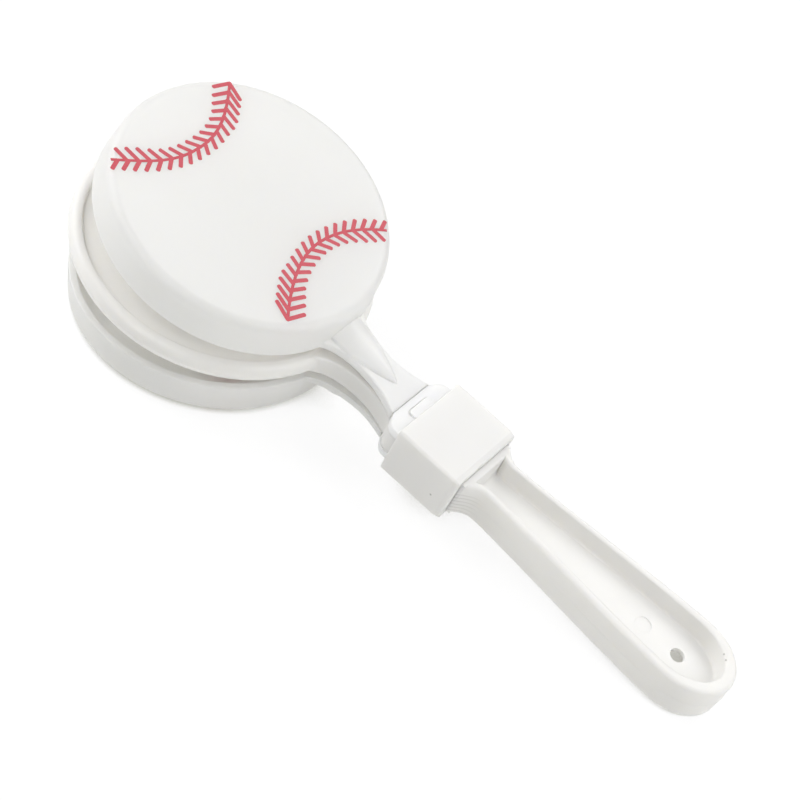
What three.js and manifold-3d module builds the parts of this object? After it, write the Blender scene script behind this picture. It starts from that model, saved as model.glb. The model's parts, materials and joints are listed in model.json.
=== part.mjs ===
// Hand clapper: a centre paddle between two hinged clappers on one handle, in millimetres.
//
// Layout before the last shift: the centre paddle's disc is centred on the origin, x runs
// to the end of the handle, y runs across it and z points out of the upper clapper's face.
// The clappers stand as photographed, a few degrees open about their film hinges. At the
// end the group is moved so that its bounding box is centred on the origin.

import * as THREE from 'three';
import { mergeVertices } from 'three/addons/utils/BufferGeometryUtils.js';
import Module from 'manifold-3d';

const wasm = await Module();
wasm.setup();

// Centre paddle
const discRadius = 39.3;
const discHalfThickness = 2.8;
const discEdgeRadius = 2.3;
const beadWidth = 2.9;
const beadStep = 1.0;
const beadSlope = 0.4;
const beadEdge = 0.2;
const neckLength = 22.0;
const neckHalfThickness = 2.9;
const neckEdgeRadius = 0.5;
const discFilletReach = 2.6;
const discFilletHalfWidth = 10.0;

// Outline that the neck and both arms share
const waistHalfWidth = 4.6;
const waistToHinge = 11.8;
const hingeHalfWidth = 7.4;

// Ears and tongues
const earHalfWidth = 10.9;
const earLength = 4.75;
const earCornerLength = 4.0;
const tongueHalfWidth = 9.6;
const tongueLength = 8.9;
const layerGap = 0.2;
const padHalfWidth = 3.85;
const padSetback = 2.1;
const padHeight = 0.42;
const padCornerRadius = 1.0;
const padGrooveWidth = 0.3;
const padGrooveDepth = 0.3;

// Clappers
const clapperRadius = 37.5;
const clapperHeight = 10.2;
const clapperWall = 1.8;
const clapperShift = 0.775;
const shoulderRadius = 2.6;
const wallDraftDegrees = 4.6;
const rimEdgeRadius = 0.4;
const innerFilletRadius = 1.2;
const armThickness = 2.1;
const armEdgeRadius = 0.4;
const upperOpeningDegrees = 7.37;
const lowerOpeningDegrees = 6.33;

// Gusset rib on each arm
const ribRootHalfWidth = 5.6;
const ribRootHeight = 2.8;
const ribHalfWidth = 4.9;
const ribHeight = 2.15;
const ribNoseLength = 12.0;
const ribNoseToHinge = 5.2;
const ribSink = 0.6;

// Film hinge
const filmThickness = 0.5;
const filmClearance = 0.09;
const creaseHalfGap = 0.05;
const creaseSlopeDegrees = 2;

// Collar
const collarLength = 19.1;
const collarTopWall = 1.9;
const collarSideWall = 2.3;
const collarEdgeRadius = 0.9;
const collarLip = 0.3;
const collarEndBand = 1.5;
const collarEndStep = 0.15;
const collarEndDrop = 0.35;
const fitGap = 0.15;
const seatGap = 0.06;

// Handle
const gripLength = 77.8;
const gripHalfThickness = 5.65;
const gripEdgeRadius = 1.0;
const gripDraft = 0.1;
const flareHalfWidth = 10.3;
const flareLength = 6.2;
const gripWaistHalfWidth = 6.75;
const gripEndHalfWidth = 10.85;
const gripEndLength = 13.1;
const waistReach = 7.5;
const endReach = 14.0;
const partingRidge = 0.1;
const partingRidgeHalfWidth = 0.2;

// Recess in both faces of the handle
const webThickness = 1.3;
const recessSetback = 2.0;
const recessFrontHalfWidth = 5.8;
const recessWaistHalfWidth = 4.8;
const recessEndHalfWidth = 8.2;
const recessEndLength = 11.5;
const recessTipWall = 3.6;
const recessDraft = 0.35;
const recessFloorRadius = 0.6;
const recessEdgeRadius = 0.4;
const holeDiameter = 3.8;
const holeToTip = 14.2;
const markDiameter = 4.4;
const markToTip = 24.9;
const markDepth = 0.16;
const markTiltDegrees = 3;
const markDeepSideDegrees = 40;

// Handles of the outlines' curves, as shares of each curve's length and rise
const filletLeave = [0.16, 0.7];
const filletArrive = [0.54, 1];
const armFlareLeave = [0.42, 0];
const armFlareArrive = [0.64, 0.36];
const earLeave = [0.2, 0.55];
const earArrive = [0.45, 1];
const gripFlareLeave = [0.34, 0.33];
const gripFlareArrive = [0.49, 1];
const recessLeave = [0.3, 1];
const recessArrive = [0.6, 1];

// Powers that shape the rib: its widening at the dish and its nose
const ribRootPower = 1.3;
const ribNoseWidthPower = 0.75;
const ribNoseHeightPower = 0.5;
// How far each flank's arc is centred past the rib's middle, and where the narrow crest
// begins, as shares of the half-width
const ribArcOffset = 0.4;
const ribCrestShare = 0.06;
// Length left off the rib's nose, so that its last section has a width
const ribTip = 0.05;

// Values that follow from the sizes above
const hingeX = discRadius + neckLength;
const wallDraft = Math.tan(THREE.MathUtils.degToRad(wallDraftDegrees));
const creaseSlope = Math.tan(THREE.MathUtils.degToRad(creaseSlopeDegrees));
const rimPlaneZ = neckHalfThickness + layerGap;
const axisHeight = armThickness - filmThickness / 2;
const axisZ = rimPlaneZ + axisHeight;
const tabTopZ = rimPlaneZ + armThickness;
const collarFrontX = hingeX + earLength + fitGap;
const collarRearX = collarFrontX + collarLength;
const boreHalfWidth = tongueHalfWidth + fitGap;
const boreHalfHeight = tabTopZ + padHeight + fitGap;
const stubFrontX = collarFrontX + tongueLength + fitGap;
const gripFrontX = collarRearX + seatGap;
const tipX = collarRearX + gripLength;
const recessFrontX = collarRearX + recessSetback;
const holeX = tipX - holeToTip;
const markX = tipX - markToTip;

const DISC_STEPS = 88;
const CLAPPER_STEPS = 88;
const CORNER_STEPS = 3;
const CURVE_STEPS = 8;
const BAR_STEPS = 32;
// Length by which a cutting body passes the surface that it cuts
const OVERCUT = 1;

// Counterclockwise outline from the points of its upper side, given with rising x
function mirroredOutline(side) {
  const upper = side.filter((p, i) => i === 0 || p.distanceTo(side[i - 1]) > 1e-4);
  const offAxis = upper.filter((p) => p.y > 1e-6);
  const points = offAxis.map((p) => new THREE.Vector2(p.x, -p.y));
  const last = upper[upper.length - 1];
  if (last.y <= 1e-6) points.push(new THREE.Vector2(last.x, 0));
  return [...points, ...offAxis.reverse()];
}

// The outline moved inward by one distance, with mitred corners
function insetOutline(points, distance) {
  const count = points.length;
  return points.map((p, i) => {
    const before = points[(i + count - 1) % count];
    const after = points[(i + 1) % count];
    const a = new THREE.Vector2(before.y - p.y, p.x - before.x).normalize();
    const b = new THREE.Vector2(p.y - after.y, after.x - p.x).normalize();
    const scale = distance / (1 + a.dot(b));
    return new THREE.Vector2(p.x + (a.x + b.x) * scale, p.y + (a.y + b.y) * scale);
  });
}

// Closed skin through rings of equal length, each at its own height along z
function skin(rings, heights) {
  const count = rings[0].length;
  const positions = [];
  const indices = [];
  rings.forEach((ring, level) => {
    ring.forEach((p) => positions.push(p.x, p.y, heights[level]));
  });
  for (let level = 0; level + 1 < rings.length; level += 1) {
    for (let i = 0; i < count; i += 1) {
      const next = (i + 1) % count;
      const low = level * count;
      const high = low + count;
      indices.push(low + i, low + next, high + next);
      indices.push(low + i, high + next, high + i);
    }
  }
  const last = (rings.length - 1) * count;
  THREE.ShapeUtils.triangulateShape(rings[0], []).forEach(([a, b, c]) => {
    indices.push(a, c, b);
  });
  THREE.ShapeUtils.triangulateShape(rings[rings.length - 1], []).forEach(([a, b, c]) => {
    indices.push(last + a, last + b, last + c);
  });
  const geometry = new THREE.BufferGeometry();
  geometry.setAttribute('position', new THREE.Float32BufferAttribute(positions, 3));
  geometry.setIndex(indices);
  return geometry;
}

// Plate of one outline whose edge follows a list of heights and insets
function edgedPlate(outline, levels) {
  const rings = levels.map((level) => insetOutline(outline, level.inset));
  return skin(rings, levels.map((level) => level.z));
}

// The skin turned so that its rings lie in y and z and its levels run along x
function levelsAlongX(geometry) {
  const basis = new THREE.Matrix4().makeBasis(
    new THREE.Vector3(0, 1, 0), new THREE.Vector3(0, 0, 1), new THREE.Vector3(1, 0, 0),
  );
  return geometry.applyMatrix4(basis);
}

// Heights and insets of a rounded upper edge that ends at topZ
function roundedTop(topZ, radius, inset = 0) {
  const levels = [];
  for (let i = 0; i <= CORNER_STEPS; i += 1) {
    const angle = (Math.PI / 2) * (i / CORNER_STEPS);
    levels.push({
      z: topZ - radius + radius * Math.sin(angle),
      inset: inset + radius - radius * Math.cos(angle),
    });
  }
  return levels;
}

// The same edge below and above the middle plane
function bothFaces(upperLevels) {
  const lowerLevels = upperLevels.map((level) => ({ z: -level.z, inset: level.inset }));
  return [...lowerLevels.reverse(), ...upperLevels];
}

// Points of an arc about (x, y), in a profile of radius and height
function arcPoints(x, y, radius, startDegrees, endDegrees, steps) {
  const points = [];
  for (let i = 0; i <= steps; i += 1) {
    const angle = THREE.MathUtils.degToRad(startDegrees + ((endDegrees - startDegrees) * i) / steps);
    points.push(new THREE.Vector2(x + radius * Math.cos(angle), y + radius * Math.sin(angle)));
  }
  return points;
}

// Turned body about the z axis from a profile of (radius, height)
function turned(profile, steps) {
  return new THREE.LatheGeometry(profile, steps).rotateX(Math.PI / 2);
}

function solid(geometry) {
  const bare = geometry.clone();
  bare.deleteAttribute('normal');
  bare.deleteAttribute('uv');
  const merged = mergeVertices(bare, 1e-5);
  return new wasm.Manifold(new wasm.Mesh({
    numProp: 3,
    vertProperties: new Float32Array(merged.attributes.position.array),
    triVerts: new Uint32Array(merged.index.array),
  }));
}

function geometryOf(body) {
  const mesh = body.getMesh();
  const geometry = new THREE.BufferGeometry();
  geometry.setAttribute('position', new THREE.BufferAttribute(mesh.vertProperties, 3));
  geometry.setIndex(new THREE.BufferAttribute(mesh.triVerts, 1));
  geometry.computeVertexNormals();
  return geometry;
}

// Round bar along z between two heights
function roundBar(radius, lowZ, highZ) {
  const bar = new THREE.CylinderGeometry(radius, radius, highZ - lowZ, BAR_STEPS);
  return bar.rotateX(Math.PI / 2).translate(0, 0, (lowZ + highZ) / 2);
}

// Box between two corners
function block(low, high) {
  const box = new THREE.BoxGeometry(high[0] - low[0], high[1] - low[1], high[2] - low[2]);
  return box.translate((low[0] + high[0]) / 2, (low[1] + high[1]) / 2, (low[2] + high[2]) / 2);
}

// Curve to a point (x, y). Each handle is a share of the curve's length and of its rise.
function bendTo(side, x, y, leave, arrive) {
  const from = side.currentPoint.clone();
  side.bezierCurveTo(
    from.x + (x - from.x) * leave[0], from.y + (y - from.y) * leave[1],
    from.x + (x - from.x) * arrive[0], from.y + (y - from.y) * arrive[1],
    x, y,
  );
}

// Upper side of the neck and of the arms: a fillet at the disc, a waist and a flare that
// ends at the hinge. rootX is where the fillet starts.
function neckSide(rootX) {
  const side = new THREE.Path();
  side.moveTo(rootX, discFilletHalfWidth);
  bendTo(side, hingeX - waistToHinge, waistHalfWidth, filletLeave, filletArrive);
  bendTo(side, hingeX, hingeHalfWidth, armFlareLeave, armFlareArrive);
  return side;
}

// The ear's rounded front corner, from the hinge out to the full width
function addEarCorner(side) {
  bendTo(side, hingeX + earCornerLength, earHalfWidth, earLeave, earArrive);
}

// Ears up to the collar, then the tongue that goes inside it
function addTongue(side, endX) {
  const earEndX = collarFrontX - fitGap;
  side.lineTo(earEndX, earHalfWidth);
  side.lineTo(earEndX, tongueHalfWidth);
  side.lineTo(endX, tongueHalfWidth);
}

// Profile of the disc's recessed face and of the step up to its bead
function faceProfile() {
  const faceZ = discHalfThickness - beadStep;
  const beadInner = discRadius - beadWidth;
  return [
    new THREE.Vector2(0, faceZ),
    new THREE.Vector2(beadInner - beadSlope, faceZ),
    new THREE.Vector2(beadInner, discHalfThickness - beadEdge),
  ];
}

// Disc with a bead on both faces and a rounded edge that carries the parting line
function paddleDisc() {
  const edge = arcPoints(discRadius - discEdgeRadius, discHalfThickness - discEdgeRadius,
    discEdgeRadius, 90, 0, CORNER_STEPS + 2);
  const upper = [
    ...faceProfile(),
    new THREE.Vector2(discRadius - beadWidth + beadEdge, discHalfThickness),
    ...edge,
    new THREE.Vector2(discRadius, partingRidgeHalfWidth),
    new THREE.Vector2(discRadius + partingRidge, 0),
  ];
  const lower = upper.slice(0, -1).map((p) => new THREE.Vector2(p.x, -p.y));
  return solid(turned([...lower, ...upper.reverse()], DISC_STEPS));
}

// Space over the disc's recessed face, which the neck must not fill
function discFaceCut() {
  const topZ = neckHalfThickness + OVERCUT;
  const profile = [
    ...faceProfile(),
    new THREE.Vector2(discRadius - beadWidth, topZ),
    new THREE.Vector2(0, topZ),
  ];
  return solid(turned(profile, DISC_STEPS));
}

function centrePaddle() {
  const side = neckSide(discRadius - discFilletReach);
  addEarCorner(side);
  addTongue(side, collarRearX - fitGap);
  const outline = mirroredOutline(side.getPoints(CURVE_STEPS));
  const neck = solid(edgedPlate(outline, bothFaces(roundedTop(neckHalfThickness, neckEdgeRadius))));
  const faceCut = discFaceCut();
  const lowerFaceCut = faceCut.rotate([180, 0, 0]);
  return paddleDisc().add(neck).subtract(faceCut).subtract(lowerFaceCut);
}

// Dish of a clapper, its rim on z = 0 and its middle on the z axis
function dishBody() {
  const topRadius = clapperRadius - wallDraft * clapperHeight;
  const profile = [
    new THREE.Vector2(0, 0),
    ...arcPoints(clapperRadius - rimEdgeRadius, rimEdgeRadius, rimEdgeRadius, -90, 0, 2),
    ...arcPoints(topRadius - shoulderRadius, clapperHeight - shoulderRadius,
      shoulderRadius, 0, 90, 2 * CORNER_STEPS),
    new THREE.Vector2(0, clapperHeight),
  ];
  return solid(turned(profile, CLAPPER_STEPS));
}

// Hollow of the dish, open at the rim
function dishHollow() {
  const radius = clapperRadius - clapperWall;
  const topZ = clapperHeight - clapperWall;
  const topRadius = radius - wallDraft * topZ;
  const profile = [
    new THREE.Vector2(0, -OVERCUT),
    new THREE.Vector2(radius, -OVERCUT),
    ...arcPoints(topRadius - innerFilletRadius, topZ - innerFilletRadius,
      innerFilletRadius, 0, 90, CORNER_STEPS),
    new THREE.Vector2(0, topZ),
  ];
  return solid(turned(profile, CLAPPER_STEPS));
}

// Half-width and height of the rib at a distance ahead of the start of its nose. A negative
// distance lies towards the dish.
function ribSection(distance, rootDistance) {
  if (distance < 0) {
    const share = (distance / rootDistance) ** ribRootPower;
    return {
      halfWidth: ribHalfWidth + (ribRootHalfWidth - ribHalfWidth) * share,
      height: ribHeight + (ribRootHeight - ribHeight) * share,
    };
  }
  const fall = 1 - distance / ribNoseLength;
  return {
    halfWidth: ribHalfWidth * fall ** ribNoseWidthPower,
    height: ribHeight * fall ** ribNoseHeightPower,
  };
}

// Pointed arch of the rib: two round flanks, steep at the arm, and a narrow crest
function ribArch(halfWidth, height) {
  const shares = [];
  for (let i = 0; i < CURVE_STEPS - 2; i += 1) {
    shares.push(Math.cos(((Math.PI / 2) * i) / (CURVE_STEPS - 2)));
  }
  shares.push(ribCrestShare);
  const arc = (share) => Math.sqrt(1 - ((share + ribArcOffset) / (1 + ribArcOffset)) ** 2);
  const right = shares.map((share) => {
    const rise = arc(share) / arc(0);
    return new THREE.Vector2(halfWidth * share, height * rise);
  });
  right.unshift(new THREE.Vector2(halfWidth, -ribSink));
  const left = right.map((p) => new THREE.Vector2(-p.x, p.y)).reverse();
  return [...right, ...left];
}

// Gusset that runs from inside the dish's wall to a pointed nose on the arm
function gussetRib() {
  const noseEndX = hingeX - ribNoseToHinge;
  const noseStartX = noseEndX - ribNoseLength;
  const rootX = clapperShift + clapperRadius - clapperWall / 2;
  const rootDistance = rootX - noseStartX;
  const places = [];
  for (let i = 0; i < CORNER_STEPS; i += 1) places.push(rootDistance * (1 - i / CORNER_STEPS));
  for (let i = 0; i <= CURVE_STEPS; i += 1) {
    places.push((ribNoseLength - ribTip) * Math.sin(((Math.PI / 2) * i) / CURVE_STEPS));
  }
  const rings = places.map((place) => {
    const { halfWidth, height } = ribSection(place, rootDistance);
    return ribArch(halfWidth, height);
  });
  return solid(levelsAlongX(skin(rings, places)).translate(noseStartX, 0, armThickness));
}

// Prism along y over a polygon of (x, z) points
function prismAlongY(points, halfWidth) {
  const shape = new THREE.Shape(points.map(([x, z]) => new THREE.Vector2(x, z)));
  const prism = new THREE.ExtrudeGeometry(shape, { depth: 2 * halfWidth, bevelEnabled: false });
  return prism.rotateX(Math.PI / 2).translate(0, halfWidth, 0);
}

// Round bar along y on the hinge axis of a body whose rim plane is z = 0
function hingeBar(radius, halfWidth) {
  const bar = new THREE.CylinderGeometry(radius, radius, 2 * halfWidth, BAR_STEPS);
  return solid(bar.translate(hingeX, 0, axisHeight));
}

// One clapper, closed, with its rim plane on z = 0 and x measured as in the assembly
function clapper() {
  const rootX = clapperShift + clapperRadius - discFilletReach;
  const side = neckSide(rootX);
  side.lineTo(hingeX + OVERCUT, hingeHalfWidth);
  const outline = mirroredOutline(side.getPoints(CURVE_STEPS));
  const levels = [{ z: 0, inset: 0 }, ...roundedTop(armThickness, armEdgeRadius)];
  const arm = solid(edgedPlate(outline, levels));
  const cutTopZ = armThickness + OVERCUT;
  const creaseX = hingeX - creaseHalfGap;
  const endCut = solid(prismAlongY([
    [creaseX - creaseSlope * (axisHeight + OVERCUT), -OVERCUT],
    [hingeX + 2 * OVERCUT, -OVERCUT],
    [hingeX + 2 * OVERCUT, cutTopZ],
    [creaseX, cutTopZ],
    [creaseX, axisHeight],
  ], earHalfWidth));
  const filmSeat = hingeBar(filmThickness / 2 + filmClearance, earHalfWidth);
  const dish = dishBody().translate([clapperShift, 0, 0]);
  const hollow = dishHollow().translate([clapperShift, 0, 0]);
  return dish.add(arm).add(gussetRib()).subtract(hollow)
    .subtract(endCut).subtract(filmSeat);
}

// Raised pad on the tab that fills the height of the collar
function tabPad(outline) {
  return solid(skin([outline, outline], [armThickness / 2, armThickness + padHeight]));
}

// Narrow groove round the front end of the pad
function padGroove(outline) {
  const around = insetOutline(outline, -padGrooveWidth);
  const ring = solid(skin([around, around], [armThickness - padGrooveDepth, armThickness + OVERCUT]));
  const behind = block(
    [hingeX + padSetback + padCornerRadius, -earHalfWidth, 0],
    [collarRearX, earHalfWidth, armThickness + 2 * OVERCUT],
  );
  return ring.subtract(solid(behind));
}

// Ears, tongue, pad and hinge film of a clapper, with its lower face on z = 0
function hingeTab() {
  const side = new THREE.Path();
  side.moveTo(hingeX - OVERCUT, hingeHalfWidth);
  side.lineTo(hingeX, hingeHalfWidth);
  addEarCorner(side);
  const tongueEndX = collarFrontX + tongueLength;
  addTongue(side, tongueEndX);
  const outline = mirroredOutline(side.getPoints(CURVE_STEPS));
  const levels = [{ z: 0, inset: 0 }, ...roundedTop(armThickness, armEdgeRadius)];
  const plate = solid(edgedPlate(outline, levels));
  const padHalfLength = (tongueEndX - hingeX - padSetback) / 2;
  const padOutline = roundedSection(padHalfLength, padHalfWidth, padCornerRadius)
    .map((p) => new THREE.Vector2(p.x + tongueEndX - padHalfLength, p.y));
  const filmBottomZ = armThickness - filmThickness;
  const creaseX = hingeX + creaseHalfGap;
  const creaseCut = solid(prismAlongY([
    [hingeX - 2 * OVERCUT, -OVERCUT],
    [creaseX + creaseSlope * (axisHeight + OVERCUT), -OVERCUT],
    [creaseX + creaseSlope * (axisHeight - filmBottomZ), filmBottomZ],
    [hingeX, filmBottomZ],
    [hingeX, armThickness + OVERCUT],
    [hingeX - 2 * OVERCUT, armThickness + OVERCUT],
  ], earHalfWidth));
  const film = hingeBar(filmThickness / 2, hingeHalfWidth - armEdgeRadius);
  return plate.subtract(padGroove(padOutline)).add(tabPad(padOutline)).subtract(creaseCut).add(film);
}

// Rounded rectangle about the origin
function roundedSection(halfWidth, halfHeight, radius) {
  const shape = new THREE.Shape();
  shape.absarc(halfWidth - radius, halfHeight - radius, radius, 0, Math.PI / 2);
  shape.absarc(-halfWidth + radius, halfHeight - radius, radius, Math.PI / 2, Math.PI);
  shape.absarc(-halfWidth + radius, -halfHeight + radius, radius, Math.PI, 1.5 * Math.PI);
  shape.absarc(halfWidth - radius, -halfHeight + radius, radius, 1.5 * Math.PI, 2 * Math.PI);
  return shape.getPoints(CORNER_STEPS).filter((p, i, all) => {
    const before = all[(i + all.length - 1) % all.length];
    return p.distanceTo(before) > 1e-4;
  });
}

// Collar: a tube of rectangular section with rounded edges, drawn in a little at its rear
function collarSleeve() {
  const halfWidth = boreHalfWidth + collarSideWall;
  const halfHeight = boreHalfHeight + collarTopWall;
  const section = roundedSection(halfWidth, halfHeight, collarEdgeRadius);
  const levels = [
    { z: collarFrontX, inset: collarLip },
    { z: collarFrontX + collarLip, inset: 0 },
    { z: collarRearX - collarEndBand, inset: 0 },
    { z: collarRearX - collarEndBand + collarEndStep, inset: collarEndStep },
    { z: collarRearX - collarLip, inset: collarEndDrop },
    { z: collarRearX, inset: collarEndDrop + collarLip },
  ];
  const bore = block(
    [collarFrontX - OVERCUT, -boreHalfWidth, -boreHalfHeight],
    [collarRearX + OVERCUT, boreHalfWidth, boreHalfHeight],
  );
  return solid(levelsAlongX(edgedPlate(section, levels))).subtract(solid(bore));
}

// Upper side of the grip: flare behind the collar, waist, long swell and round end
function gripSide() {
  const waistX = collarRearX + flareLength;
  const endX = tipX - gripEndLength;
  const side = new THREE.Path();
  side.moveTo(collarRearX - 2 * gripEdgeRadius, flareHalfWidth);
  side.lineTo(collarRearX, flareHalfWidth);
  bendTo(side, waistX, gripWaistHalfWidth, gripFlareLeave, gripFlareArrive);
  side.bezierCurveTo(
    waistX + waistReach, gripWaistHalfWidth,
    endX - endReach, gripEndHalfWidth,
    endX, gripEndHalfWidth,
  );
  side.absellipse(endX, 0, gripEndLength, gripEndHalfWidth, Math.PI / 2, 0, true);
  return side;
}

// Upper side of the recess, from its square front end to its round rear end
function recessSide() {
  const waistX = collarRearX + flareLength;
  const endX = tipX - recessTipWall - recessEndLength;
  const side = new THREE.Path();
  side.moveTo(recessFrontX, recessFrontHalfWidth);
  bendTo(side, waistX, recessWaistHalfWidth, recessLeave, recessArrive);
  side.bezierCurveTo(
    waistX + waistReach, recessWaistHalfWidth,
    endX - endReach, recessEndHalfWidth,
    endX, recessEndHalfWidth,
  );
  side.absellipse(endX, 0, recessEndLength, recessEndHalfWidth, Math.PI / 2, 0, true);
  return side;
}

// The recess of one face as a cutting body, with drafted walls and a rounded floor edge
function recessCut() {
  const outline = mirroredOutline(recessSide().getPoints(CURVE_STEPS));
  const floorZ = webThickness / 2;
  const levels = [];
  for (let i = 0; i <= CORNER_STEPS - 1; i += 1) {
    const angle = (Math.PI / 2) * (i / (CORNER_STEPS - 1));
    levels.push({
      z: floorZ + recessFloorRadius * (1 - Math.cos(angle)),
      inset: recessDraft + recessFloorRadius * (1 - Math.sin(angle)),
    });
  }
  levels.push({ z: gripHalfThickness - recessEdgeRadius, inset: 0 });
  levels.push({ z: gripHalfThickness, inset: -recessEdgeRadius });
  levels.push({ z: gripHalfThickness + OVERCUT, inset: -recessEdgeRadius });
  return solid(edgedPlate(outline, levels));
}

// Stub inside the collar: two lips that take the centre paddle's tongue between them
function handleStub() {
  const halfWidth = boreHalfWidth - fitGap;
  const halfHeight = boreHalfHeight - fitGap;
  const slotHalfHeight = neckHalfThickness + fitGap;
  const stub = solid(block(
    [stubFrontX, -halfWidth, -halfHeight],
    [gripFrontX + OVERCUT, halfWidth, halfHeight],
  ));
  const slot = solid(block(
    [stubFrontX - OVERCUT, -halfWidth - OVERCUT, -slotHalfHeight],
    [collarRearX, halfWidth + OVERCUT, slotHalfHeight],
  ));
  return stub.subtract(slot);
}

// Round mark of an ejector pin that stood a little askew, so that one side of it is deeper
function ejectorMark() {
  const pin = roundBar(markDiameter / 2, 0, gripHalfThickness);
  const deepSide = THREE.MathUtils.degToRad(markDeepSideDegrees);
  const tiltAxis = new THREE.Vector3(-Math.sin(deepSide), Math.cos(deepSide), 0);
  const tilt = new THREE.Matrix4().makeRotationAxis(tiltAxis, THREE.MathUtils.degToRad(markTiltDegrees));
  const height = webThickness / 2 - markDepth;
  return solid(pin.applyMatrix4(tilt).translate(markX, 0, height));
}

function handle() {
  const outline = mirroredOutline(gripSide().getPoints(CURVE_STEPS + 2));
  const upperLevels = [
    { z: partingRidgeHalfWidth, inset: 0 },
    ...roundedTop(gripHalfThickness, gripEdgeRadius, gripDraft),
  ];
  const levels = bothFaces(upperLevels);
  const middle = levels.length / 2;
  levels.splice(middle, 0, { z: 0, inset: -partingRidge });
  const frontCut = solid(block(
    [stubFrontX, -flareHalfWidth - OVERCUT, -gripHalfThickness - OVERCUT],
    [gripFrontX, flareHalfWidth + OVERCUT, gripHalfThickness + OVERCUT],
  ));
  const grip = solid(edgedPlate(outline, levels)).subtract(frontCut);
  const recess = recessCut();
  const lowerRecess = recess.rotate([180, 0, 0]);
  const hole = roundBar(holeDiameter / 2, -gripHalfThickness, gripHalfThickness);
  return grip.add(handleStub()).subtract(recess).subtract(lowerRecess)
    .subtract(solid(hole.translate(holeX, 0, 0))).subtract(ejectorMark());
}

function namedMesh(name, body, colour, roughness) {
  const material = new THREE.MeshStandardMaterial({ color: colour, roughness, metalness: 0 });
  const mesh = new THREE.Mesh(geometryOf(body), material);
  mesh.name = name;
  return mesh;
}

// Group that turns its meshes about a hinge axis. The meshes keep their own places in it.
function hingedGroup(mesh, openingDegrees) {
  const pivot = new THREE.Group();
  pivot.position.set(hingeX, 0, axisZ);
  pivot.rotation.y = THREE.MathUtils.degToRad(openingDegrees);
  mesh.position.set(-hingeX, 0, -axisHeight);
  pivot.add(mesh);
  return pivot;
}

const whiteClapper = '#f2f2f0';
const whiteFrame = '#efefec';

const upperSide = new THREE.Group();
const upperTab = namedMesh('upper_hinge_tab', hingeTab(), whiteClapper, 0.4);
upperTab.position.z = rimPlaneZ;
upperSide.add(upperTab);
upperSide.add(hingedGroup(namedMesh('upper_clapper', clapper(), whiteClapper, 0.35), upperOpeningDegrees));

// The lower side is the same two bodies, turned over about the x axis
const lowerSide = new THREE.Group();
const lowerTab = namedMesh('lower_hinge_tab', hingeTab(), whiteClapper, 0.4);
lowerTab.position.z = rimPlaneZ;
lowerSide.add(lowerTab);
lowerSide.add(hingedGroup(namedMesh('lower_clapper', clapper(), whiteClapper, 0.35), lowerOpeningDegrees));
lowerSide.rotation.x = Math.PI;

const handClapper = new THREE.Group();
handClapper.name = 'hand_clapper';
handClapper.add(namedMesh('handle', handle(), whiteFrame, 0.4));
handClapper.add(namedMesh('collar_sleeve', collarSleeve(), whiteFrame, 0.4));
handClapper.add(namedMesh('centre_paddle', centrePaddle(), whiteFrame, 0.4));
handClapper.add(upperSide);
handClapper.add(lowerSide);

// The origin goes to the middle of the bounding box
handClapper.updateMatrixWorld(true);
const box = new THREE.Box3().setFromObject(handClapper, true);
handClapper.position.copy(box.getCenter(new THREE.Vector3())).negate();

export default handClapper;
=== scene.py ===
"""Looks of the hand clapper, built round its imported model. Lengths are in metres."""

import json
import math

import bmesh
import bpy
from mathutils import Matrix, Vector


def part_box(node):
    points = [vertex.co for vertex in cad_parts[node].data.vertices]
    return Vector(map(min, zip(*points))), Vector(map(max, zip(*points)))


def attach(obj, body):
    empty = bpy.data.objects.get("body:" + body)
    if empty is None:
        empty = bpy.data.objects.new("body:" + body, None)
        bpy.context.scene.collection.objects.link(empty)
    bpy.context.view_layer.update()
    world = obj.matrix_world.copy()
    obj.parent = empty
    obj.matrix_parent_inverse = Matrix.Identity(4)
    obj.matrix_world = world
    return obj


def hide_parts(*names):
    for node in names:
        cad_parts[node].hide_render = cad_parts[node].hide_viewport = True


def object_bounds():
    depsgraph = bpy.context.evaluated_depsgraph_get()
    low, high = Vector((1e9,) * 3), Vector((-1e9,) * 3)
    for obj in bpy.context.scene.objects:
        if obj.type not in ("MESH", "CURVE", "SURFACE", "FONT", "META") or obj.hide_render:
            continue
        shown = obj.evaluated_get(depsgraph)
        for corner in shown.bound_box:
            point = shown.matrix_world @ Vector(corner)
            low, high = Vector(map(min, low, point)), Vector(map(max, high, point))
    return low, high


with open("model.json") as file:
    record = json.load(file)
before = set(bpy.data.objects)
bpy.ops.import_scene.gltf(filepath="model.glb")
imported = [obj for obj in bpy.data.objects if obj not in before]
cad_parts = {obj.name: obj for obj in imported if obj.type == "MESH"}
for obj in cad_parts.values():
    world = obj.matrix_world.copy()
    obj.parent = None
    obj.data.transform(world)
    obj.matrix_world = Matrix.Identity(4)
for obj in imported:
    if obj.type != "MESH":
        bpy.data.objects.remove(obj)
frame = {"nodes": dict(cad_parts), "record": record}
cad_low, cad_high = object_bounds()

MM = 0.001

# Radius of the centre disc with the parting ridge on its edge
DISC_REACH = 39.4 * MM
paddle_low, paddle_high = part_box("centre_paddle")
DISC_CENTRE = Vector((paddle_low.x + DISC_REACH, 0, (paddle_low.z + paddle_high.z) / 2))

# Both film hinges have their crease at this x
CREASE_X = frame["record"]["behaviour"]["joints"][0]["pos_m"][0]


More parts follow.
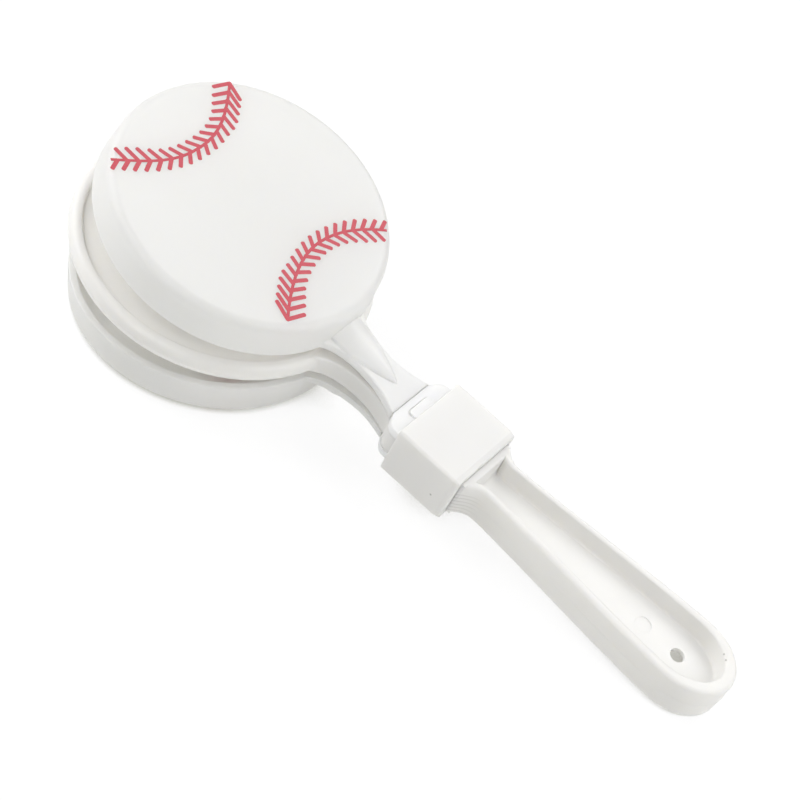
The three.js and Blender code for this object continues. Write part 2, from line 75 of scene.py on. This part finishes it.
def add_camera():
    """The photograph's camera: its place is measured from the centre disc's middle."""
    data = bpy.data.cameras.new("photo_camera")
    data.sensor_width = 36
    data.lens = 89.917
    data.shift_x = 0.0015
    data.shift_y = 0.0276
    data.clip_start = 0.01
    data.clip_end = 20
    camera = bpy.data.objects.new("photo_camera", data)
    right = Vector((0.729008, 0.602402, 0.325052))
    up = Vector((-0.658893, 0.488879, 0.571714))
    back = Vector((0.185491, -0.630959, 0.753315))
    turn = Matrix((right, up, back)).transposed().to_4x4()
    place = DISC_CENTRE + Vector((152.191, -308.924, 364.443)) * MM
    camera.matrix_world = Matrix.Translation(place) @ turn
    bpy.context.scene.collection.objects.link(camera)
    bpy.context.scene.camera = camera


add_camera()


def linear(hex_colour):
    """Linear RGBA of an sRGB hex colour."""
    parts = [int(hex_colour[i:i + 2], 16) / 255 for i in (1, 3, 5)]
    return [c / 12.92 if c <= 0.04045 else ((c + 0.055) / 1.055) ** 2.4 for c in parts] + [1.0]


def add_node(tree, kind, inputs=None, **settings):
    """A node with its settings. Each input is a value, or the socket that it is linked to."""
    node = tree.nodes.new(kind)
    for key, value in settings.items():
        setattr(node, key, value)
    for name, value in (inputs or {}).items():
        if isinstance(value, bpy.types.NodeSocket):
            tree.links.new(value, node.inputs[name])
        else:
            node.inputs[name].default_value = value
    return node


def calculated(tree, operation, *terms):
    """Result of a Math node. Each term is a number or a socket."""
    node = add_node(tree, "ShaderNodeMath", dict(enumerate(terms)), operation=operation)
    return node.outputs[0]


def mapped(tree, value, low, high, to_low=0.0, to_high=1.0):
    """A value that runs from to_low to to_high while the given one runs from low to high."""
    node = add_node(tree, "ShaderNodeMapRange",
                    {"Value": value, "From Min": low, "From Max": high,
                     "To Min": to_low, "To Max": to_high})
    return node.outputs["Result"]


def noise(tree, place, size, detail):
    """Noise from 0 to 1 with patches of about the given size."""
    node = add_node(tree, "ShaderNodeTexNoise",
                    {"Scale": 1 / size, "Detail": detail, "Vector": place})
    return node.outputs["Fac"]


def mixed_colour(tree, share, first, second):
    """Colour that runs from the first to the second while share runs from 0 to 1. Each colour
    is an sRGB hex one or a socket."""
    ends = {name: linear(colour) if isinstance(colour, str) else colour
            for name, colour in (("A", first), ("B", second))}
    node = add_node(tree, "ShaderNodeMix", {"Factor": share, **ends}, data_type="RGBA")
    return next(o for o in node.outputs if o.type == "RGBA")


def mixed_shader(tree, share, first, second):
    """Shader that goes from the first to the second while share goes from 0 to 1."""
    return add_node(tree, "ShaderNodeMixShader", {0: share, 1: first, 2: second}).outputs[0]


def shader(tree, kind, inputs=None):
    """Output of a shader node."""
    return add_node(tree, "ShaderNode" + kind, inputs).outputs[0]


def seen_directly(tree):
    """1 for rays from the camera and for reflections, 0 for all others."""
    path = add_node(tree, "ShaderNodeLightPath").outputs
    return calculated(tree, "MAXIMUM", path["Is Camera Ray"], path["Is Glossy Ray"])


def new_material(name):
    """An empty node material and its tree."""
    material = bpy.data.materials.new(name)
    material.use_nodes = True
    material.node_tree.nodes.clear()
    return material, material.node_tree


# Flow lines on the handle's near flare: their spacing, the size of the patches by which they
# waver, and by how many radians they do
FLOW_LINE_PITCH = 1.3 * MM
FLOW_WAVER_SIZE = 3 * MM
FLOW_WAVER = 2.5
FLOW_LINE_COLOUR = "#c3c2bc"
FLOW_LINE_SHARE = 0.45

# x, y and z of each dark speck on the frame, from the disc's middle, and its radius, in
# millimetres: one on the collar's side and two on the rim of the handle's recess
SPECKS = ((80.67, -12.05, -2.06, 0.4), (156.7, 5.64, 5.6, 0.35), (157.95, 4.67, 5.6, 0.35))
SPECK_COLOUR = "#5b584c"
SPECK_SHARE = 0.5
# Share of its radius up to which a speck is darkest
SPECK_CORE = 0.3


def frame_marks(tree, place, colour):
    """Marks of moulding and use on the frame: the flow lines, which are strongest just behind
    the collar and low on the flare's side and fade out from there, and the dark specks."""
    axes = add_node(tree, "ShaderNodeSeparateXYZ", {"Vector": place}).outputs
    waver = noise(tree, place, FLOW_WAVER_SIZE, 1.0)
    turn = calculated(tree, "MULTIPLY", axes["Z"], math.tau / FLOW_LINE_PITCH)
    phase = calculated(tree, "MULTIPLY_ADD", waver, FLOW_WAVER, turn)
    wave = calculated(tree, "SINE", phase)
    share = mapped(tree, wave, 0.2, 1.0, 0.0, FLOW_LINE_SHARE)
    collar_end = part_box("collar_sleeve")[1].x
    near_collar = mapped(tree, axes["X"], collar_end + 2 * MM, collar_end + 7 * MM, 1.0, 0.0)
    behind = calculated(tree, "GREATER_THAN", axes["X"], collar_end)
    near_side = mapped(tree, axes["Y"], -6.3 * MM, -7.0 * MM)
    low_on_side = mapped(tree, axes["Z"], 2.5 * MM, 1.0 * MM)
    for mask in (near_collar, behind, near_side, low_on_side):
        share = calculated(tree, "MULTIPLY", share, mask)
    colour = mixed_colour(tree, share, colour, FLOW_LINE_COLOUR)
    for x, y, z, radius in SPECKS:
        middle = DISC_CENTRE + Vector((x, y, z)) * MM
        away = add_node(tree, "ShaderNodeVectorMath", {0: place, 1: middle},
                        operation="DISTANCE").outputs["Value"]
        spot = mapped(tree, away, radius * MM, SPECK_CORE * radius * MM, 0.0, SPECK_SHARE)
        colour = mixed_colour(tree, spot, colour, SPECK_COLOUR)
    return colour


# Sizes of the patterns in the plastic: clouds of pigment, patches of gloss, and the
# orange-peel of the tool's surface with its depth
CLOUD_SIZE = 25 * MM
GLOSS_PATCH_SIZE = 6 * MM
PEEL_SIZE = 0.7 * MM
PEEL_DEPTH = 0.02 * MM
# Radius with which the shading rounds the mouldings' edges
EDGE_RADIUS = 0.22 * MM
# Distances from the disc's middle between which a clapper's plastic changes from the thin
# walls of the dish to the arm
DISH_END = 34 * MM
ARM_START = 44 * MM


def moulded_polypropylene(name, colour, shade, roughness, spread, through, marks=None):
    """White polypropylene, injection moulded. The eye gets a clean, slightly warm white with
    a soft satin gloss, faint flow clouds a few centimetres wide, a gloss that is uneven patch
    by patch, and the fine orange-peel of the tool's surface. through holds the shares of light
    that pass a surface: at the disc, where walls are thin and glow on their far side, at the
    arm, and behind the crease of the film hinge."""
    material, tree = new_material(name)
    place = add_node(tree, "ShaderNodeTexCoord").outputs["Object"]
    surface_colour = mixed_colour(tree, noise(tree, place, CLOUD_SIZE, 2.0), colour, shade)
    if marks:
        surface_colour = marks(tree, place, surface_colour)
    patches = noise(tree, place, GLOSS_PATCH_SIZE, 3.0)
    # The noise lies mostly between 0.3 and 0.7
    gloss = mapped(tree, patches, 0.3, 0.7, roughness - spread, roughness + spread)
    peel = noise(tree, place, PEEL_SIZE, 1.0)
    rounded = add_node(tree, "ShaderNodeBevel", {"Radius": EDGE_RADIUS}, samples=4)
    bump = add_node(tree, "ShaderNodeBump",
                    {"Strength": 0.12, "Distance": PEEL_DEPTH, "Height": peel,
                     "Normal": rounded.outputs["Normal"]})
    plastic = shader(tree, "BsdfPrincipled",
                     {"Base Color": surface_colour, "IOR": 1.49, "Roughness": gloss,
                      "Subsurface Weight": 0.7, "Subsurface Scale": 2.5 * MM,
                      "Subsurface Radius": (1.0, 0.98, 0.9), "Normal": bump.outputs["Normal"]})
    passing = shader(tree, "BsdfTranslucent", {"Color": surface_colour})
    disc, arm, tab = through
    x = add_node(tree, "ShaderNodeSeparateXYZ", {"Vector": place}).outputs["X"]
    before_crease = mapped(tree, x, DISC_CENTRE.x + DISH_END, DISC_CENTRE.x + ARM_START, disc, arm)
    behind_crease = calculated(tree, "GREATER_THAN", x, CREASE_X)
    share = add_node(tree, "ShaderNodeMix",
                     {"Factor": behind_crease, "A": before_crease, "B": tab}).outputs[0]
    skin = mixed_shader(tree, share, plastic, passing)
    add_node(tree, "ShaderNodeOutputMaterial", {"Surface": skin})
    return material


# Size of the patches in which the ink is thicker or thinner, and their depth
INK_PATCH_SIZE = 1.5 * MM
INK_PATCH_DEPTH = 0.01 * MM


def pad_printed_red_ink():
    """Red pad-printing ink on polypropylene. The eye gets a flat, slightly chalky red whose
    thickness varies a little from the pad, with softer gloss than the plastic under it."""
    material, tree = new_material("pad_printed_red_ink")
    place = add_node(tree, "ShaderNodeTexCoord").outputs["Object"]
    patches = noise(tree, place, INK_PATCH_SIZE, 3.0)
    colour = mixed_colour(tree, patches, "#b93c49", "#c44c58")
    bump = add_node(tree, "ShaderNodeBump",
                    {"Strength": 0.15, "Distance": INK_PATCH_DEPTH, "Height": patches})
    ink = shader(tree, "BsdfPrincipled",
                 {"Base Color": colour, "IOR": 1.5, "Roughness": 0.5,
                  "Normal": bump.outputs["Normal"]})
    add_node(tree, "ShaderNodeOutputMaterial", {"Surface": ink})
    return material


FRAME_WHITE = moulded_polypropylene(
    "satin_moulded_polypropylene", colour="#edecea", shade="#ebeae7", roughness=0.40,
    spread=0.05, through=(0.06, 0.06, 0.06), marks=frame_marks)
# The roughness stays above 0.28 in every patch: where it doesn't, the denoiser leaves stains
CLAPPER_WHITE = moulded_polypropylene(
    "smooth_moulded_polypropylene", colour="#f8f8f7", shade="#f6f6f4", roughness=0.305,
    spread=0.02, through=(0.42, 0.22, 0.03))
RED_INK = pad_printed_red_ink()


def new_object(name, data):
    """An object in the scene."""
    obj = bpy.data.objects.new(name, data)
    bpy.context.scene.collection.objects.link(obj)
    return obj


# Corners of a CAD mesh that lie closer than this are one
SAME_CORNER = 0.002 * MM
# Edges that turn by more than this stay sharp
SHARP_ANGLE = math.radians(50)


def moulding(name, node, body, material):
    """A smoothly shaded copy of a CAD node."""
    mesh = frame["nodes"][node].data.copy()
    mesh.name = name
    shape = bmesh.new()
    shape.from_mesh(mesh)
    bmesh.ops.remove_doubles(shape, verts=shape.verts, dist=SAME_CORNER)
    for face in shape.faces:
        face.smooth = True
    for edge in shape.edges:
        edge.smooth = len(edge.link_faces) == 2 and edge.calc_face_angle(0) < SHARP_ANGLE
    shape.to_mesh(mesh)
    shape.free()
    mesh.materials.clear()
    mesh.materials.append(material)
    piece = new_object(name, mesh)
    weighted = piece.modifiers.new("even_normals", "WEIGHTED_NORMAL")
    weighted.keep_sharp = True
    weighted.weight = 100
    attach(piece, body)
    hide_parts(node)


moulding("handle_moulding", "handle", "frame", FRAME_WHITE)
moulding("collar_moulding", "collar_sleeve", "frame", FRAME_WHITE)
moulding("paddle_moulding", "centre_paddle", "frame", FRAME_WHITE)
moulding("upper_tab_moulding", "upper_hinge_tab", "frame", CLAPPER_WHITE)
moulding("lower_tab_moulding", "lower_hinge_tab", "frame", CLAPPER_WHITE)
moulding("upper_clapper_moulding", "upper_clapper", "upper", CLAPPER_WHITE)
moulding("lower_clapper_moulding", "lower_clapper", "lower", CLAPPER_WHITE)


# The two printed seams on a clapper's face, each as start, middle and end of a Bezier curve
# with the handles between them. x runs towards the hinge and y across, in millimetres.
SEAMS = (
    ((-28.71, 20.36), (-18.82, 9.04), (-18.50, 2.91), (-18.48, -2.11),
     (-18.44, -10.45), (-21.95, -15.65), (-27.27, -23.66)),
    ((28.51, -17.67), (21.91, -9.78), (17.78, -1.82), (17.61, 5.03),
     (17.43, 12.28), (20.29, 18.97), (24.84, 24.72)),
)

# What the stitch tree is given. The counts are stitches on one side of one seam, an end is
# the share of the seam's length at which the last one starts, and the angles are those
# between a stitch and the seam.
PRINT_SIZES = {
    "Outer Stitches": 18,
    "Inner Stitches": 16,
    "Outer End": 0.965,
    "Inner End": 0.918,
    "First Angle": math.radians(36),
    "Outer Angle": math.radians(55),
    "Inner Angle": math.radians(56),
    "Longest Stitch": 5.2 * MM,
    "Stitch Width": 1.1 * MM,
    "Line Width": 0.75 * MM,
    "Ink Thickness": 0.03 * MM,
    "Ink": RED_INK,
}
# Lengths of the stitches as pairs: share of the way along the seam, share of the longest
OUTER_LENGTHS = ((0, 0.98), (0.1, 0.87), (0.2, 0.82), (0.3, 0.64), (0.6, 0.59), (0.85, 0.64),
                 (1, 0.6))
INNER_LENGTHS = ((0, 0.92), (0.1, 0.84), (0.22, 0.68), (0.5, 0.7), (0.75, 0.7), (0.88, 0.82),
                 (1, 0.74))
# The outer stitches open from the first angle to the outer one up to this share of the way
ANGLE_SETTLES = 0.25
# Radius of a stitch's round end as a share of its width, which leaves a sliver of flat end
ROUND_END = 0.499


def seam_curve(name):
    """Both seams as one curve object in the plane z = 0."""
    curve = bpy.data.curves.new(name, "CURVE")
    curve.dimensions = "3D"
    curve.resolution_u = 24
    for seam in SEAMS:
        start, leave, arrive, middle, depart, approach, end = [Vector((x, y, 0)) * MM
                                                               for x, y in seam]
        spline = curve.splines.new("BEZIER")
        spline.bezier_points.add(2)
        places = ((start, start, leave), (middle, arrive, depart), (end, approach, end))
        for point, (place, left, right) in zip(spline.bezier_points, places):
            point.handle_left_type = point.handle_right_type = "FREE"
            point.co, point.handle_left, point.handle_right = place, left, right
    return new_object(name, curve)


def stitch_tree():
    """Node tree that prints a seam line and V stitches along a curve, as one thin layer."""
    tree = bpy.data.node_groups.new("printed_seam", "GeometryNodeTree")
    sockets = tree.interface
    sockets.new_socket("Seam", in_out="INPUT", socket_type="NodeSocketGeometry")
    for name, value in PRINT_SIZES.items():
        kind = {int: "Int", float: "Float"}.get(type(value), "Material")
        sockets.new_socket(name, in_out="INPUT", socket_type="NodeSocket" + kind)
    sockets.new_socket("Print", in_out="OUTPUT", socket_type="NodeSocketGeometry")
    given = add_node(tree, "NodeGroupInput").outputs

    def stadium():
        """A flat bar with round ends, one stitch long, that starts at the origin along x."""
        long = calculated(tree, "ADD", given["Longest Stitch"], given["Stitch Width"])
        outline = add_node(tree, "GeometryNodeCurvePrimitiveQuadrilateral",
                           {"Width": long, "Height": given["Stitch Width"]})
        radius = calculated(tree, "MULTIPLY", given["Stitch Width"], ROUND_END)
        rounded = add_node(tree, "GeometryNodeFilletCurve",
                           {"Curve": outline.outputs["Curve"], "Count": 5, "Radius": radius},
                           mode="POLY")
        half = calculated(tree, "MULTIPLY", given["Longest Stitch"], 0.5)
        shift = add_node(tree, "ShaderNodeCombineXYZ", {"X": half})
        bar = add_node(tree, "GeometryNodeTransform",
                       {"Geometry": rounded.outputs["Curve"], "Translation": shift.outputs[0]})
        return bar.outputs["Geometry"]

    def thick(curve):
        """A closed slab over a closed outline."""
        face = add_node(tree, "GeometryNodeFillCurve", {"Curve": curve}, mode="NGONS")
        raised = add_node(tree, "GeometryNodeExtrudeMesh",
                          {"Mesh": face.outputs["Mesh"], "Individual": False,
                           "Offset Scale": given["Ink Thickness"]}, mode="FACES")
        under = add_node(tree, "GeometryNodeFlipFaces", {"Mesh": face.outputs["Mesh"]})
        both = add_node(tree, "GeometryNodeJoinGeometry")
        tree.links.new(raised.outputs["Mesh"], both.inputs[0])
        tree.links.new(under.outputs["Mesh"], both.inputs[0])
        slab = add_node(tree, "GeometryNodeMergeByDistance",
                        {"Geometry": both.outputs["Geometry"], "Distance": 0.001 * MM})
        return slab.outputs["Geometry"]

    def stitches(bar, count, end, side, first_angle, later_angle, lengths):
        """Stitches along one side of the seam, evenly spaced. The line runs on a little past
        the last one."""
        cut = add_node(tree, "GeometryNodeTrimCurve", {"Curve": given["Seam"], "End": end},
                       mode="FACTOR")
        points = add_node(tree, "GeometryNodeResampleCurve",
                          {"Curve": cut.outputs["Curve"], "Count": count}, mode="COUNT")
        along = add_node(tree, "GeometryNodeSplineParameter").outputs["Factor"]
        tangent = add_node(tree, "GeometryNodeInputTangent").outputs[0]
        facing = add_node(tree, "FunctionNodeAlignRotationToVector", {"Vector": tangent},
                          axis="X", pivot_axis="Z")
        angle = mapped(tree, along, 0.0, ANGLE_SETTLES, first_angle, later_angle)
        signed = calculated(tree, "MULTIPLY", angle, side)
        lean = add_node(tree, "FunctionNodeAxisAngleToRotation",
                        {"Axis": (0, 0, 1), "Angle": signed})
        turned = add_node(tree, "FunctionNodeRotateRotation",
                          {"Rotation": facing.outputs[0], "Rotate By": lean.outputs[0]},
                          rotation_space="LOCAL")
        share = add_node(tree, "ShaderNodeFloatCurve", {"Value": along})
        curve = share.mapping.curves[0]
        curve.points[0].location = lengths[0]
        curve.points[1].location = lengths[-1]
        for place in lengths[1:-1]:
            curve.points.new(*place)
        share.mapping.update()
        scale = add_node(tree, "ShaderNodeCombineXYZ", {"X": share.outputs[0], "Y": 1.0, "Z": 1.0})
        row = add_node(tree, "GeometryNodeInstanceOnPoints",
                       {"Points": points.outputs["Curve"], "Instance": bar,
                        "Rotation": turned.outputs[0], "Scale": scale.outputs[0]})
        return row.outputs["Instances"]

    def seam_line():
        """The line along the whole seam, a ribbon as thick as the ink."""
        fine = add_node(tree, "GeometryNodeResampleCurve", {"Curve": given["Seam"], "Count": 64},
                        mode="COUNT")
        flat = add_node(tree, "GeometryNodeSetCurveNormal", {"Curve": fine.outputs["Curve"]},
                        mode="Z_UP")
        section = add_node(tree, "GeometryNodeCurvePrimitiveQuadrilateral",
                           {"Width": given["Line Width"], "Height": given["Ink Thickness"]})
        ribbon = add_node(tree, "GeometryNodeCurveToMesh",
                          {"Curve": flat.outputs["Curve"],
                           "Profile Curve": section.outputs["Curve"], "Fill Caps": True})
        lift = calculated(tree, "MULTIPLY", given["Ink Thickness"], 0.5)
        height = add_node(tree, "ShaderNodeCombineXYZ", {"Z": lift})
        line = add_node(tree, "GeometryNodeTransform",
                        {"Geometry": ribbon.outputs["Mesh"], "Translation": height.outputs[0]})
        return line.outputs["Geometry"]

    bar = thick(stadium())
    outer = stitches(bar, given["Outer Stitches"], given["Outer End"], 1.0,
                     given["First Angle"], given["Outer Angle"], OUTER_LENGTHS)
    inner = stitches(bar, given["Inner Stitches"], given["Inner End"], -1.0,
                     given["Inner Angle"], given["Inner Angle"], INNER_LENGTHS)
    # One layer of ink: where stitches cross the line they become one shape
    layer = add_node(tree, "GeometryNodeMeshBoolean", {"Self Intersection": True},
                     operation="UNION", solver="EXACT")
    for part in (outer, inner, seam_line()):
        tree.links.new(part, layer.inputs["Mesh 2"])
    real = add_node(tree, "GeometryNodeRealizeInstances", {"Geometry": layer.outputs["Mesh"]})
    inked = add_node(tree, "GeometryNodeSetMaterial",
                     {"Geometry": real.outputs["Geometry"], "Material": given["Ink"]})
    add_node(tree, "NodeGroupOutput", {"Print": inked.outputs["Geometry"]})
    return tree


STITCH_TREE = stitch_tree()
# The print's underside stays this far inside the face, so that no gap shows
PRINT_SUNK = 0.01 * MM


def printed_seams(name, body, mount_name, across):
    """The print of one clapper, laid on its flat face. across is +1 where the print's y runs
    with the part's y, and -1 on the clapper that is turned over."""
    mount = next(m for m in frame["record"]["mounts"] if m["name"] == mount_name)
    normal = Vector(mount["axis"]).normalized()
    sideways = Vector((0, across, 0))
    towards_hinge = sideways.cross(normal)
    layer = seam_curve(name + "_path")
    printer = layer.modifiers.new("printed_seam", "NODES")
    printer.node_group = STITCH_TREE
    for item in STITCH_TREE.interface.items_tree:
        if item.item_type == "SOCKET" and item.name in PRINT_SIZES:
            printer[item.identifier] = PRINT_SIZES[item.name]
    layer.update_tag()
    bpy.context.view_layer.update()
    graph = bpy.context.evaluated_depsgraph_get()
    mesh = bpy.data.meshes.new_from_object(layer.evaluated_get(graph), depsgraph=graph)
    bpy.data.objects.remove(layer)
    turn = Matrix((towards_hinge, sideways, normal)).transposed().to_4x4()
    mesh.transform(Matrix.Translation(Vector(mount["pos_m"]) - normal * PRINT_SUNK) @ turn)
    print_piece = new_object(name, mesh)
    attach(print_piece, body)


printed_seams("upper_seam_print", "upper", "upper_print_face", 1)
printed_seams("lower_seam_print", "lower", "lower_print_face", -1)


# The table reaches this far each way, and lies this far under the clapper
TABLE_REACH = 3.0
TABLE_GAP = 0.3 * MM
# Length of the handle's end on which the clapper rests
HANDLE_TIP = 2 * MM
# Strengths of the table's glow to the eye, and of the light that it sends up
TABLE_GLOW = 0.88
TABLE_LIGHT = 0.115
# How far the table looks for the clapper lying on it, whose shadow it paints, and for a clapper
# below it
COVER_REACH = 12 * MM
BELOW_REACH = 150 * MM


def white_table():
    """White table top. The eye gets a bright even ground that keeps the clapper's shadow: the
    lamps' shadow on it, and a painted shadow in its glow where the clapper covers it.
    """
    material, tree = new_material("pale_studio_floor")
    # Painted shadow: where the clapper covers the table, as under the hanging hole, the table's
    # glow is painted dark. The slight yellow of that dark is painted too, for light that would
    # come through the plastic.
    cover = add_node(tree, "ShaderNodeAmbientOcclusion", {"Distance": COVER_REACH}, samples=8)
    open_air = mapped(tree, cover.outputs["AO"], 0.05, 0.4)
    painted_shadow_colour = mixed_colour(tree, open_air, "#6a6748", "#ffffff")
    # The eye sees that glow and, on top of it, the lamps' light on a grey, with the shadow
    glow = shader(tree, "Emission", {"Color": painted_shadow_colour, "Strength": TABLE_GLOW})
    grey = shader(tree, "BsdfDiffuse", {"Color": linear("#6a6a6a")})
    to_the_eye = shader(tree, "AddShader", {0: grey, 1: glow})
    # The table is lit from below, so that light comes up into the clapper's gaps
    below = shader(tree, "Emission", {"Color": linear("#ffffff"), "Strength": TABLE_LIGHT})
    pale = shader(tree, "BsdfDiffuse", {"Color": linear("#f2f2f0")})
    to_the_part = shader(tree, "AddShader", {0: pale, 1: below})
    top = mixed_shader(tree, seen_directly(tree), to_the_part, to_the_eye)
    # From below the table is open, so that the clapper's underside can be looked at. It is
    # also open where a clapper has swung below it, which happens only with the lower one wide
    # open.
    clear = shader(tree, "BsdfTransparent")
    from_below = add_node(tree, "ShaderNodeNewGeometry").outputs["Backfacing"]
    beneath = add_node(tree, "ShaderNodeAmbientOcclusion", {"Distance": BELOW_REACH},
                       samples=16, inside=True)
    swung = mapped(tree, beneath.outputs["AO"], 1.0, 0.95)
    opened = calculated(tree, "MAXIMUM", from_below, swung)
    surface = mixed_shader(tree, opened, top, clear)
    add_node(tree, "ShaderNodeOutputMaterial", {"Surface": surface})
    return material


def studio_floor():
    """A pale table top under the clapper as it lies, on its lower dish and the handle's end."""
    corners = [v.co for n in ("lower_clapper", "handle") for v in frame["nodes"][n].data.vertices]
    tip = min((c for c in corners if c.x > cad_high.x - HANDLE_TIP), key=lambda c: c.z)
    slope = max((tip.z - c.z) / (tip.x - c.x) for c in corners if c.x < 0)
    sheet = bpy.data.meshes.new("studio_floor")
    sheet.from_pydata([(x * TABLE_REACH, y * TABLE_REACH, 0)
                       for x, y in ((-1, -1), (1, -1), (1, 1), (-1, 1))], [], [(0, 1, 2, 3)])
    sheet.transform(Matrix.Translation(Vector((tip.x, 0, tip.z - TABLE_GAP)))
                    @ Matrix.Rotation(-math.atan(slope), 4, "Y"))
    sheet.materials.append(white_table())
    floor = new_object("studio_floor", sheet)


def studio_world():
    """A white room that the eye and reflections see. It gives no other light."""
    world = bpy.data.worlds.new("white_studio")
    world.use_nodes = True
    tree = world.node_tree
    tree.nodes.clear()
    sky = shader(tree, "Background",
                 {"Color": linear("#ffffff"), "Strength": seen_directly(tree)})
    add_node(tree, "ShaderNodeOutputWorld", {"Surface": sky})
    bpy.context.scene.world = world


# All lamps stand this far from the part's origin
LAMP_DISTANCE = 1.4
SOFTBOX_SIZE = 1.0
CREST_LIGHT_SIZE = 0.3


def lamp(name, direction, size, power):
    """A square area lamp that looks at the clapper from the given direction. power is in
    watts."""
    data = bpy.data.lights.new(name, "AREA")
    data.shape = "SQUARE"
    data.size = size
    data.energy = power
    holder = new_object(name, data)
    aim = Vector(direction).normalized()
    turn = aim.to_track_quat("Z", "Y").to_matrix().to_4x4()
    holder.matrix_world = Matrix.Translation(aim * LAMP_DISTANCE) @ turn


studio_floor()
studio_world()
# Large softboxes on all four sides, and a low one that shines into the gaps of the dishes
lamp("left_softbox", (-0.8, -0.1, 0.6), SOFTBOX_SIZE, 10.4)
lamp("low_left_softbox", (-0.95, -0.1, 0.2), SOFTBOX_SIZE, 7.1)
lamp("right_softbox", (0.8, 0.1, 0.6), SOFTBOX_SIZE, 10.6)
lamp("back_softbox", (0, 0.7, 0.7), SOFTBOX_SIZE, 7.8)
lamp("front_softbox", (0, -0.7, 0.7), SOFTBOX_SIZE, 6.2)
# A small one whose mirror image lies on the crest of the rib
lamp("crest_light", (0.15, 0.43, 0.88), CREST_LIGHT_SIZE, 0.6)

bpy.context.scene.view_settings.view_transform = "Standard"
# White plastic passes light on many times, which keeps the gaps between the plates bright
bpy.context.scene.cycles.max_bounces = 24
bpy.context.scene.cycles.diffuse_bounces = 16
bpy.context.scene.cycles.transmission_bounces = 16
